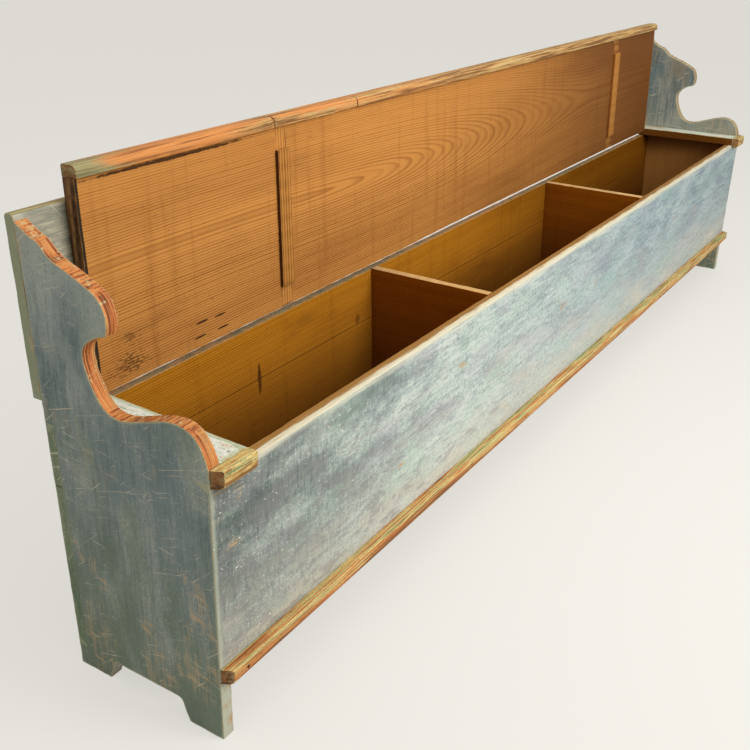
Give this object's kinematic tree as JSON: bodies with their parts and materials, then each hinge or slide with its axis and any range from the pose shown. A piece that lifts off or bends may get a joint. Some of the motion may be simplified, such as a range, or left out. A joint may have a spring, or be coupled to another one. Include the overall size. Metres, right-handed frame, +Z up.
{
  "type": "storage bench",
  "caption": "Long painted pine bench with scrolled end boards, a divided chest under the seat and a full-length lid that tips open against the back.",
  "frame": {"origin": "on the floor, at the middle of the bench's length and depth", "axes": "+X along the bench to its right end as seen from the front, +Y to the back, +Z up"},
  "size_m": [2.76, 0.3782, 0.8349],
  "materials": {
    "blue_paint": "worn matt blue-grey paint on pine",
    "worn_edge_paint": "green paint rubbed through to orange pine along the edges",
    "bare_pine": "bare honey-brown pine, dry and matt",
    "old_iron": "dark rusty iron"
  },
  "bodies": {
    "chest": {"end_board_left": "blue_paint", "end_board_right": "blue_paint", "front_board": "blue_paint", "back_upper_board": "blue_paint", "back_middle_board": "blue_paint", "back_lower_board": "blue_paint", "seat_end_left": "blue_paint", "seat_end_right": "blue_paint", "base_moulding": "worn_edge_paint", "seat_end_nosing_left": "worn_edge_paint", "seat_end_nosing_right": "worn_edge_paint", "divider_left": "bare_pine", "divider_right": "bare_pine", "floor_board_front": "bare_pine", "floor_board_rear": "bare_pine", "floor_bearer_front": "bare_pine", "floor_bearer_rear": "bare_pine", "hinge_leaves_back": "old_iron", "hinge_pins": "old_iron", "hinge_screws_back": "old_iron", "front_board_nails": "old_iron", "divider_nails": "old_iron", "moulding_nails": "old_iron", "back_board_nails": "old_iron", "seat_end_nails": "old_iron", "nosing_block_nails": "old_iron", "bearer_nails": "old_iron", "floor_nails": "old_iron"},
    "lid": {"lid_board": "bare_pine", "lid_batten_left": "bare_pine", "lid_batten_right": "bare_pine", "lid_nosing_left": "worn_edge_paint", "lid_nosing_middle": "worn_edge_paint", "lid_nosing_right": "worn_edge_paint", "hinge_leaves_lid": "old_iron", "hinge_screws_lid": "old_iron", "lid_nosing_nails": "old_iron"}
  },
  "joints": [
    {"name": "lid_hinge", "type": "hinge", "parent": "chest", "child": "lid", "pos_m": [0, 0.15936, 0.4849], "axis": [1, 0, 0], "range_deg": [0, 91.79]}
  ]
}
